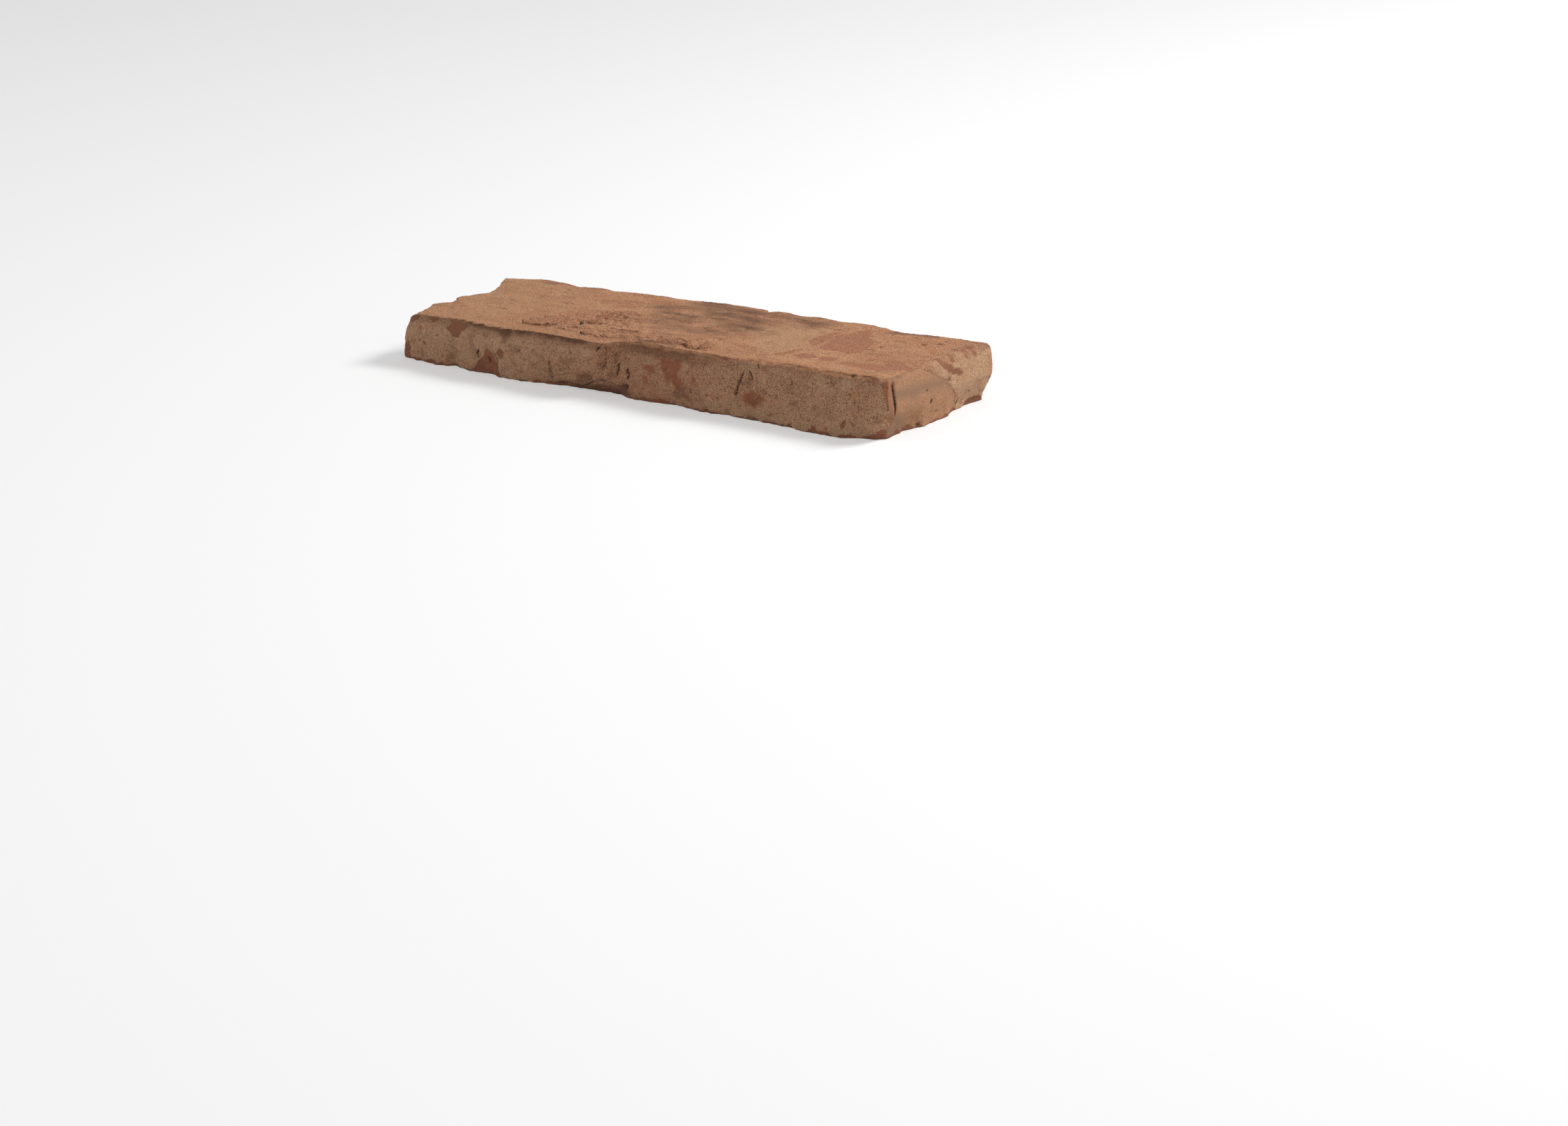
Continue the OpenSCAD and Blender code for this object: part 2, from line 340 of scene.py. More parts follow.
# On the moulded face: (along the length, across the width)
TOP_BARE = [
    [(60, 4.5), (60.5, 11.5), (61, 18), (65, 21.5), (64.5, 15.5), (67.5, 10.5), (67.5, -0.5), (65.5, 0)],
    [(70.5, -2), (69, 6), (67, 12.5), (64.5, 16.5), (68, 20.5), (69, 24.5), (73, 27.5), (76.5, 24), (80.5, 17.5),
     (85.5, 13.5), (89, 5.5), (90, -1), (87, -4.5), (83, -4), (78.5, -2), (75, -4)],
    [(60.5, -17), (63, -13.5), (64, -8.5), (66.5, -6), (67, -15), (63, -19)],
    [(69, -15.5), (70, -11), (73.5, -10), (80.5, -13.5), (78, -15.5), (74.5, -18)],
    [(80.5, -13.5), (82.5, -11), (88, -11), (89, -15.5), (86, -17), (82, -17)],
    [(92.5, -18), (92.5, -13.5), (99.5, -14.5), (104, -12), (109, -10.5), (111, -5.5), (115, -6), (122, -10), (124, -13),
     (117.5, -15.5), (113, -18.5), (107, -19), (102.5, -18.5)],
    [(98.5, -8.5), (99, -5.5), (102, -5), (103.5, -7.5), (102, -9.5)],
    [(105.5, -8), (107.5, -5.6), (110.5, -3.8), (116, -5.6), (112, -6.8), (108, -8.8)],
]
TOP_SOOT = [[(-34, 20), (-20, 38), (30, 38), (54, 30), (44, 16), (38, 4), (22, -9), (4, -12), (-10, -2), (-24, 8)]]
# Smuts with a sharper edge
TOP_SMUTS = [
    [(5.5, 7.5), (4.5, 10.5), (6.5, 12.5), (9, 9)], [(17, 0), (17.5, 2.5), (19.5, 2.5), (20.5, 0.5)],
    [(-7, -21), (-1.5, -22.5), (3, -20.5), (8, -18), (15, -22), (11, -25), (8, -27), (3.5, -27.5), (-0.5, -26.5)],
    [(-103.5, 29), (-102, 32), (-96, 34), (-94, 27.5), (-98.5, 26.5)], [(82, 28.5), (86.5, 34), (104, 35), (104, 30.5), (90, 29.5)],
    [(-9, 24.5), (-9, 27), (-5, 27.5), (-6, 24.5)], [(-84, 30), (-80, 33), (-70, 31), (-76, 28)],
]
TOP_ORANGE = [[(-50, 9), (-44, 20), (-38, 31), (-28, 33), (-27, 26), (-36, 20), (-43, 9)], [(-124, -9), (-119, -5), (-104, -18), (-110, -19)],
              [(112, -31), (60, -30.5), (60, -28), (112, -27)]]
TOP_PALE = [[(28, 12), (42, 20), (58, 21), (60, 4), (68, -4), (64, -18), (50, -14), (38, -2)]]
TORN = [[
    (-62, -10), (-52, -5), (-46, 3), (-40, 7), (-28, 6), (-16, -6), (-9, -14), (-3.5, -18), (7, -16), (23.5, -12), (31, -16),
    (32, -23), (19.5, -28), (2.5, -29), (-14, -30), (-30, -30.5), (-46, -29), (-60, -27), (-66, -22),
]]
# Torn clay that lies open, without slurry or sand
TOP_RAW = [
    [(-63, -26), (-61, -25.3), (-54, -24), (-47, -22.8), (-47, -24.5), (-54, -26.5), (-61.5, -28)],
    [(-23, -16), (-15, -16), (-9, -15.5), (-7.5, -17.5), (-11.5, -19), (-20, -18)],
    [(-33, -26.5), (-30, -28), (-25, -28), (-20, -27), (-12, -26), (-9, -24), (-9, -26.5), (-16, -28.5), (-30, -30)],
    [(-42, -8), (-38, -9), (-32, -12), (-33, -14), (-40, -12)], [(-44, -4), (-41, 0), (-40.5, 6), (-35, 2), (-33, -3), (-38, -6)],
    [(18, -25), (24, -24), (28, -20), (33, -18), (30, -24), (24, -27)],
]
# The rubbed flat on the whole end and its grey band, inside which no sand holds: (across, up)
RUBBED = [[(-25.6, 9), (-26.6, 20), (-26, 22.5), (-30, 30), (-13, 30), (-8, 23.5), (-6, 22), (1.5, 17.8), (7, 14.8), (9.8, 10.5), (14, 6), (15.5, 1),
           (15.5, -2), (-30, -2), (-27, 5)]]
# The orange strip between the corner and the crack of the whole end
END_BARE = [[(-29.6, 25), (-26, 25), (-25.4, 14), (-25, 9), (-27, 6), (-29.6, 9)]]
ASH = [
    [(-26, 19.2), (-18, 18.3), (-10, 17.8), (-1.5, 17.4), (4.5, 16), (8, 14.2), (9.5, 11.5), (4.5, 12), (-1.5, 13.4), (-10, 14),
     (-15, 13.2), (-18, 14.6), (-26, 15.5)],
    [(-30, 11.5), (-25, 10), (-21, 8), (-15, 4), (-16, 0), (-27, -1), (-29, 4)], [(-28, 24.5), (-20, 24.8), (-20, 22.6), (-27, 22)],
]
# Clay smeared over the sand of the roll: (middle, half lengths)
ROLL_SMEARS = [
    ((123.8, 5, 22.2), (2.8, 2, 1.8)), ((125, 6.8, 20.6), (2.4, 2.2, 2)), ((125.3, 9, 18.8), (2.2, 2.4, 1.8)),
    ((125.5, 12, 16.8), (2, 2.8, 1.3)), ((125.5, 14.5, 15.4), (1.6, 2, 1)), ((122.5, 13, 22.3), (1.8, 1.1, 0.9)), ((124.5, 12, 21), (1.3, 1.3, 1)),
    ((121, 19, 22.8), (1.8, 1.2, 1)), ((122.5, 22, 22), (2.4, 1.5, 1.2)), ((124.5, 20.3, 20.3), (1.5, 1, 1.8)),
    ((122.5, 25.5, 22.5), (2.4, 1.6, 1.2)), ((124.8, 25, 20.5), (1.6, 1.1, 2.2)), ((122.5, 27, 0.6), (2.5, 5, 2)),
]
# Creases and cracks: (points, half width, depth)
FRONT_LINES = [
    ([(-42, 11), (-42.4, 6), (-42.5, 1.8)], 1.1, 0.7), ([(-15.5, 18), (-14.8, 19.3), (-13, 20)], 0.45, 1.5),
    ([(-12, 16.5), (-12, 13.5), (-13.5, 11.5), (-15, 9.5)], 0.59, 0.62), ([(-10.5, 20.8), (-11.5, 16.5)], 0.33, 0.62),
    ([(-9, 7), (-9, 9), (-8, 10.5), (-8, 12), (-6.5, 14)], 0.45, 1), ([(-3, 12), (-4.5, 9.5)], 0.65, 1.12),
    ([(-2.5, 10.5), (-3, 8.5)], 0.59, 1.25), ([(-41.5, 1), (-32.5, 2), (-27, 1.6)], 0.52, 0.75),
    ([(-27, 1.5), (-24, 2.4), (-19.5, 4.6), (-16.5, 5.5), (-13, 5.2)], 0.42, 0.8), ([(-16.5, 5.5), (-10.5, 4.5), (-7, 4), (-4, 4.4)], 0.42, 0.65),
    ([(56, 18.5), (55, 15.5), (54, 13), (53, 10)], 0.52, 1), ([(58, 19), (59.5, 17), (60.5, 15.5)], 0.52, 1),
    ([(62.5, 21.5), (63, 20)], 0.52, 0.88), ([(30, 8.5), (31, 6)], 0.52, 0.75), ([(107, 22.6), (108, 23.8)], 0.52, 0.75),
    ([(-80, 10.5), (-81.5, 8.5), (-80.5, 6.5)], 0.52, 1.12), ([(-76, 7.5), (-75, 6), (-75.5, 4.5)], 0.52, 1),
    ([(-72.8, 10.5), (-70.5, 7), (-70.5, 3), (-69.6, 0)], 0.45, 0.88), ([(110, 15), (110, 13)], 0.52, 0.62),
    ([(-30.5, 16.2), (-30, 14.6)], 0.65, 0.88),
]
TOP_LINES = [
    ([(-68, -21.5), (-64, -25), (-62.5, -25.5), (-61, -24.5), (-56.5, -24.5), (-55, -23)], 0.43, 0.91),
    ([(-55.5, -22.5), (-52.5, -22), (-50.5, -22), (-48, -22)], 0.54, 1.07), ([(-44.5, -12), (-41.5, -15), (-40, -13.5), (-40, -11.5)], 0.55, 1.61),
    ([(-38, -14), (-36.5, -12)], 0.5, 0.91), ([(-35, -11), (-32.5, -11)], 0.43, 0.91), ([(-39.5, -9), (-39.5, -7)], 0.43, 0.74),
    ([(-33, -25), (-30.5, -26.6), (-27, -27.5), (-24.5, -26.8)], 0.39, 1.2), ([(-22.5, -25.3), (-18.5, -26), (-15, -26), (-12, -24.5), (-8.5, -23)], 0.39, 1.2),
    ([(-46, -3), (-43, -1), (-42.3, 1.5), (-41.8, 6)], 0.43, 1.07), ([(-37.5, 3.5), (-33.5, 3)], 0.55, 0.83),
    ([(-41.5, -7), (-38.5, -7.5)], 0.43, 0.74), ([(-26, -7.5), (-20.5, -9)], 0.37, 0.66), ([(-23, -15.5), (-15, -15.5), (-10, -15)], 0.43, 0.83),
    ([(-2.5, -25.5), (1, -27), (2.5, -27)], 0.5, 1.07), ([(19.5, -24.5), (21.5, -23), (24, -22.5), (25.5, -21.5), (25.5, -17), (24.5, -13.5)], 0.43, 0.99),
    ([(18, -21), (22.5, -23.5)], 0.37, 0.83), ([(26.5, -18.5), (31, -16)], 0.37, 0.5),
]
END_LINES = [
    ([(-26, 22.6), (-26.4, 20.5), (-26, 17.5), (-25.4, 14), (-25, 9.5)], 0.62, 1.4), ([(-3, 9.8), (-2.6, 7.4)], 0.42, 1.6),
    ([(-2.6, 7.6), (-3, 4)], 0.25, 0.5), ([(-0.2, 4), (2.6, 3.6)], 0.35, 0.7), ([(16.5, 4.7), (16, 1.5)], 0.4, 1.1),
    ([(29, 10), (32.5, 9), (34, 8)], 0.35, 0.5),
]
# Pits: (place, radius, depth)
FRONT_PITS = [
    ((-112.5, 8.5), 0.8, 0.9), ((-104.7, 12.8), 0.6, 0.8), ((-57.6, 12.4), 0.6, 0.9), ((41, 12.5), 0.7, 0.8),
    ((39, 7.2), 0.8, 0.8), ((45.9, 7.3), 0.5, 0.7), ((-4, 4.4), 1.1, 1.8), ((-3.5, 7.7), 0.8, 1.3), ((-115.6, 9.3), 0.6, 0.8),
    ((53, 9.5), 0.8, 1.0), ((33.5, 4.5), 0.7, 0.6), ((5.5, 5), 0.7, 0.6), ((80, 13.5), 0.6, 0.5), ((92, 9.5), 0.7, 0.6), ((83.5, 8), 0.6, 0.5),
]
TOP_PITS = [
    ((-87.4, -11.5), 0.9, 1.1), ((78.2, -2), 0.9, 0.9), ((92, 9.6), 0.8, 1.1), ((100.6, -9.6), 0.5, 0.4), ((105, 20.3), 1, 0.8),
    ((112.5, 16), 0.6, 0.7), ((110, 24), 1, 0.9), ((109.5, 28), 1, 0.8), ((115.5, 9.5), 0.6, 0.6),
    ((-103, -5.5), 0.6, 0.5), ((-118, 17.5), 0.6, 0.5), ((-105.5, -16), 0.7, 0.5), ((-94.5, 0), 0.6, 0.4), ((-70.5, 8), 0.8, 0.5),
    ((-84.5, 24.5), 0.8, 0.6), ((13.5, 5.5), 0.7, 0.8), ((26.5, 7.5), 0.8, 0.6), ((-13.5, 9), 0.8, 0.7), ((-13.5, -1.5), 0.7, 0.7),
    ((-6, 2), 0.7, 0.5), ((-0.5, 5), 0.8, 0.5), ((-8.5, 25.5), 0.9, 0.7), ((23.5, 16), 0.9, 0.6),
]
END_PITS = [
    ((-6, 14), 0.45, 1.4), ((8.5, 14.6), 0.7, 1.6), ((13, 13), 0.6, 0.8), ((22.5, 6), 0.6, 0.8), ((33, 9), 0.7, 0.7),
    ((-29.5, 21.3), 0.45, 0.8), ((-29.8, 12.8), 0.4, 0.7), ((-9.8, 1.2), 0.7, 0.7), ((28, 13), 0.5, 0.5), ((19, 9), 0.4, 0.5),
]

places, faces, rim = grid_box()
points = main_shape(places)
normal = normals_of(points, faces)
print("vertices", len(points), "quads", len(faces))

x, y, z = points.T
up = smooth(0.4, 0.75, normal[:, 2])
front_side = smooth(0.45, 0.7, -normal[:, 1])
back_side = smooth(0.4, 0.8, normal[:, 1])
whole_end = smooth(0.3, 0.6, normal[:, 0])
broken_end = smooth(0.3, 0.75, -normal[:, 0])
roll = smooth(116, 121, x) * smooth(-6, 6, y)

# the direction in which the face was struck off, and the fraying of every patch's edge
drag = np.stack([x * 0.98 - y * 0.2, x * 0.2 + y * 0.98, z], axis=1)
fray = 0.55 * noise(points, (2.6, 2.6, 2.6), 41) + 0.35 * noise(points, (7, 7, 7), 45)
bare = np.minimum(depth_in(x, z, FRONT_BARE) + fray, 4 * front_side - 2)
# the sand's torn hem along the foot of every side
hem = 0.6 + 2.4 * noise(points, (3.4, 3.4, 3.4), 46) - z
bare = np.maximum(bare, np.minimum(hem, 4 * np.maximum(front_side, whole_end) - 2))
bare = np.maximum(bare, np.minimum(depth_in(x, y, TOP_BARE) + 0.6 * fray, 4 * up - 2))
smear = np.full(len(points), -9.0)
for middle, reach in ROLL_SMEARS:
    smear = np.maximum(smear, near_spot(points, middle, reach) + 0.8 * fray)
bare = np.maximum(bare, smear)
corner_strip = depth_in(y, z, END_BARE) + 0.8 * fray
bare = np.maximum(bare, np.minimum(corner_strip, 4 * smooth(122, 124, x) - 2))
# the face's own skin has come off in places along its torn back edge and its broken end
back_gap = np.minimum(follow(BACK_TOP, x, 0.6) - y, 3 + x - np.interp(y, *zip(*BROKEN_TOP)))
bare = np.maximum(bare, np.minimum(0.2 + 3.4 * noise(points, (7, 4, 4), 48) - 0.8 * back_gap, 4 * up - 2))
bare = np.clip(bare, -3, 3)
on_end = smooth(121, 124, x + 4.5 * smooth(12, 2, z))
rubbed = np.clip(np.minimum(depth_in(y, z, RUBBED) + fray, 4 * on_end - 2), -3, 3)
ash = np.clip(depth_in(y, z, ASH) * on_end + 0.8 * fray, -3, 3)
soot = smooth(-7, 5, depth_in(x, y, TOP_SOOT) + 4 * noise(points, (16, 11, 9), 44)) * up
pale_and_painted_light = smooth(-6, 6, depth_in(x, y, TOP_PALE)) * up
# Paler: the sand of the roll on the whole end, as painted light; the front side and the face towards the broken end;
# the front side low down from its middle on
pale_and_painted_light = np.maximum(pale_and_painted_light, 0.8 * roll * (1 - up) + 0.45 * smooth(-36, -60, x) * front_side)
pale_and_painted_light = np.maximum(pale_and_painted_light, 0.35 * smooth(-50, -90, x) * up + 0.45 * smooth(0, 30, x) * smooth(12, 2, z + 3 * fray) * front_side)
torn = smooth(-3, 2, depth_in(x, y, TORN) + 2 * fray) * up
orange = smooth(-3, 3, depth_in(x, y, TOP_ORANGE) + 2 * fray) * up
orange = np.maximum(orange, 0.5 * smooth(-1, 0.5, corner_strip) * smooth(122, 124, x))
orange = np.maximum(orange, 0.6 * smooth(124.6, 126.2, x + 0.6 * fray) * smooth(31, 33, y + 1.5 * fray) * smooth(20, 17, z))
soot = np.maximum(soot, smooth(-1.8, 1.2, depth_in(x, y, TOP_SMUTS) + 1.6 * fray) * up)
rusty = smooth(-1.2, 0.8, depth_in(x, z, FRONT_RUSTY) + 2 * fray) * front_side
rusty = np.maximum(rusty, 0.2 * window(x, -10, 32, 12) * front_side)
rusty = np.maximum(rusty, smooth(-1.4, 1.2, depth_in(x, y, TOP_RAW) + 1.6 * fray) * up)
from_edge = y - follow(FRONT_TOP, x)
under = face_height(x, y) - z
lip = window(x, -9, 46, 3) * smooth(2.2, 1.2, from_edge + fray) * smooth(2.2, 1.0, under + 1.2 * fray)
lip = lip * (0.25 + 0.6 * smooth(-0.35, 0.25, noise(points, (6, 3, 2), 49, 3)))
lip = np.maximum(lip, 0.8 * smooth(46, 54, x) * smooth(122, 116, x) * up * smooth(4.4, 3.2, from_edge + 0.8 * fray))
# Painted shade, mixed towards the dark clay colour: a band under the arris where it overhangs, a painted shadow under
# the lip, and partly the drawn darker patches and the bulge below the fold at the foot; the rest of this mask is darker
# clay and sand
shade_under_arris = smooth(5.5, 1.0, under + fray) * front_side * (1 - 0.5 * smooth(40, 60, x))
shade_and_dark_clay = 0.4 * shade_under_arris + 0.4 * window(x, 0, 27, 6) * window(under + 0.8 * fray, 1.4, 3.8, 1.4)
shade_and_dark_clay = shade_and_dark_clay + 0.6 * smooth(-1.4, 1, depth_in(x, z, FRONT_DARK) + 2.2 * fray)
shade_and_dark_clay = shade_and_dark_clay + 0.3 * window(x, -30, -2, 5) * smooth(4.4, 3.4, z)
shade_and_dark_clay = np.clip(shade_and_dark_clay * front_side, 0, 1) * (1 - lip)
shade_and_dark_clay = np.maximum(shade_and_dark_clay, 0.5 * smooth(-0.4, 0.8, smear))
# painted shade along the foot, where the slice meets what it stands on
shade_and_dark_clay = np.maximum(shade_and_dark_clay, 0.35 * smooth(-0.5, 0.5, hem) * np.maximum(front_side, whole_end))
shade_and_dark_clay = np.maximum(shade_and_dark_clay, 0.15 * smooth(-1, 0.5, corner_strip) * smooth(122, 124, x))
# blots of a few millimetres, darker and paler, in the sand of the sides and in the film of the face
blot = noise(points, (5, 5, 4), 65, 5)
shade_and_dark_clay = np.maximum(shade_and_dark_clay, 0.35 * smooth(0.15, 0.5, blot) * np.maximum(front_side, 0.6 * back_side))
pale_and_painted_light = np.maximum(pale_and_painted_light, 0.55 * smooth(-0.1, -0.5, blot) * front_side)
speck = noise(points, (2.4, 2.4, 2.4), 68, 3)
shade_and_dark_clay = np.maximum(shade_and_dark_clay, 0.6 * smooth(0.3, 0.6, speck) * np.maximum(front_side, 0.6 * roll))
blot = noise(drag, (13, 6, 5), 66, 4)
soot = np.maximum(soot, 0.4 * smooth(0.2, 0.55, blot) * up)
pale_and_painted_light = np.maximum(pale_and_painted_light, 0.6 * smooth(-0.1, -0.5, blot) * up)
worn = smooth(-0.3, 0.3, bare)
flat = smooth(-0.5, 0.5, rubbed)
sand = np.clip(front_side + np.maximum(whole_end, 0.7 * roll) + 0.5 * back_side, 0, 1) * (1 - flat)

# Fine relief, in millimetres along the normal
relief = 0.35 * noise(points, (26, 26, 26), 51) * (1 - 0.4 * flat) + 0.16 * noise(points, (7, 7, 7), 57)
relief += up * (0.3 * noise(drag, (9, 3, 4), 52, 4) + 0.13 * noise(points, (1.5, 1.5, 1.5), 59, 2))
relief += sand * 0.16 * noise(points, (1.7, 1.7, 1.7), 53, 2)
relief += 0.3 * smooth(3.2, 1.0, under + np.maximum(from_edge, 0)) * noise(points, (2.2, 1.6, 1.6), 67, 2)
relief += back_side * 0.7 * noise(points, (3.5, 4, 12), 54, 4)
relief += broken_end * 0.9 * noise(points, (4, 4, 4), 55, 4)
relief += torn * (0.6 * noise(points, (6, 2.6, 3), 56, 4) + 0.55 * noise(points, (1.7, 1.4, 1.6), 58, 2) - 0.1)
relief -= 0.3 * worn * (1 - 0.7 * up)
relief -= 0.3 * flat
# the torn clay lies in flakes, each of which ends in a short step towards the front side, with a line of painted shade
# along the step
course = (y + 0.05 * x + 3.2 * noise(points, (13, 6, 6), 62, 3)) / 3.4
step = course - np.round(course)
kept = smooth(0.0, 0.35, noise(points, (8, 4, 4), 63, 3)) * torn
relief += 0.7 * kept * np.where(step > 0, 0.5 - step, -0.5 - step) * smooth(0, 0.08, np.abs(step))
crack_off = np.where(kept > 0.35, (step + 0.03) * 3.4 / 0.35, 9.0)
crack_shade_strength = 0.6 * smooth(0.3, 0.9, kept)
wander = 0.3 * noise(points, (2, 2, 2), 61)
# (the two directions, how much the second is squeezed, where they count, how deep they are cut).
# A tear in the moulded face is twice as wide across the slice as along it.
sides = ((x, z, 1.0, front_side, 0.8, FRONT_LINES, FRONT_PITS), (x, y, 0.5, up, 0.8, TOP_LINES, TOP_PITS),
         (y, z, 1.0, np.maximum(whole_end, smooth(122, 124, x)), 0.4, END_LINES, END_PITS))
for a, b, squeeze, mask, cut, lines, pits in sides:
    marks = [(line, width, depth, squeeze) for line, width, depth in lines]
    marks += [([spot, spot], radius, depth, 1.0) for spot, radius, depth in pits]
    for line, width, depth, narrowed in marks:
        tapered = line[0] != line[-1]
        drawn = [(u, v * narrowed) for u, v in line]
        far, side, along = off_line(a + wander, (b - wander) * narrowed, drawn)
        ends = smooth(0, 0.2, along) * smooth(1, 0.8, along) * 0.75 + 0.25 if tapered else 1.0
        ratio = far / (width * ends)
        relief -= mask * cut * depth * ends * np.exp(-((far / max(width, 0.5)) ** 2))
        if mask is up and tapered:
            back_lift = smooth(-0.5, 0.5, (b - line[0][1]) - (a - line[0][0]) * (line[-1][1] - line[0][1]) / (line[-1][0] - line[0][0]))
            relief += mask * 0.3 * depth * ends * back_lift * np.exp(-((far / 1.8) ** 2))
        # each line and pit also gets a dark core of painted shade, stronger where it is cut deeper
        nearer = (ratio < np.abs(crack_off)) & (mask > 0.2)
        crack_off = np.where(nearer, np.clip(ratio * side, -9, 9), crack_off)
        crack_shade_strength = np.where(nearer, min(max(depth - 0.2, 0.3) / 1.1, 1.0), crack_shade_strength)
crack_shade = crack_shade_strength * (1 - smooth(2, 3.5, np.abs(crack_off)))
crack_off = np.clip(crack_off, -4, 4)
low_edge = smooth(0, 1.5, z)
points = points + normal * relief[:, None] * np.stack([0.3 + 0.7 * low_edge, 0.3 + 0.7 * low_edge, low_edge], axis=1)
points[:, 2] = np.maximum(points[:, 2], 0)
points[rim, 2] = 0
box_low, box_high = np.array(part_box("brick_slip")) / MM
points = np.clip(points, box_low + (0.3, 0.3, 0), box_high - 0.3)


def make_mesh(name, places, polygons):
    """A mesh in metres from places in millimetres."""
    mesh = bpy.data.meshes.new(name)
    mesh.from_pydata((places * MM).tolist(), [], polygons)
    mesh.update()
    return mesh


def add_mark(mesh, name, values):
    """Keeps one number for each vertex, which the materials read."""
    mesh.attributes.new(name, "FLOAT", "POINT").data.foreach_set("value", values.astype(np.float32))


def to_linear(code):
    """An sRGB hex colour as the linear colour that the shaders take."""
    parts = [int(code[k:k + 2], 16) / 255 for k in (1, 3, 5)]
    return tuple(c / 12.92 if c <= 0.04045 else ((c + 0.055) / 1.055) ** 2.4 for c in parts) + (1.0,)


def add(tree, kind, links=None, **settings):
    """Adds one node with its settings; links gives each input its value or the socket that feeds it."""
    node = tree.nodes.new(kind)
    for key, value in settings.items():
        setattr(node, key, value)
    for key, value in (links or {}).items():
        if isinstance(value, bpy.types.NodeSocket):
            tree.links.new(value, node.inputs[key])
        else:
            node.inputs[key].default_value = value
    return node


def new_material(name):
    """An empty material and its output node."""
    material = bpy.data.materials.new(name)
    material.use_nodes = True
    material.node_tree.nodes.clear()
    return material, material.node_tree, material.node_tree.nodes.new("ShaderNodeOutputMaterial")


def mixed(tree, amount, first, second, blend="MIX"):
    """A colour mixed from two, by an amount from 0 to 1."""
    node = add(tree, "ShaderNodeMix", data_type="RGBA", blend_type=blend)
    for index, value in ((0, amount), (6, first), (7, second)):
        if isinstance(value, bpy.types.NodeSocket):
            tree.links.new(value, node.inputs[index])
        else:
            node.inputs[index].default_value = value
    return node.outputs[2]


def grains(tree, where, size, detail=3.0, stretch=(1, 1, 1), turn=0.0):
    """Noise whose cells are the given size in millimetres, on Object coordinates."""
    mapped = add(tree, "ShaderNodeMapping", {"Vector": where, "Rotation": (0, 0, math.radians(turn)), "Scale": stretch})
    return add(tree, "ShaderNodeTexNoise", {
        "Vector": mapped.outputs[0], "Scale": 1 / (size * MM), "Detail": detail, "Roughness": 0.6}).outputs[0]


def levels(tree, value, low, high):
    """Spreads the values between low and high over 0 to 1."""
    return add(tree, "ShaderNodeMapRange", {"Value": value, "From Min": low, "From Max": high}).outputs[0]


def ragged(tree, field, fray, soft=0.25):
    """A patch's mask from its depth in millimetres, with its edge frayed by a fine pattern."""
    shaken = add(tree, "ShaderNodeMath", {0: fray, 1: 1.4, 2: field}, operation="MULTIPLY_ADD").outputs[0]
    return levels(tree, shaken, 0.7 - soft, 0.7 + soft)


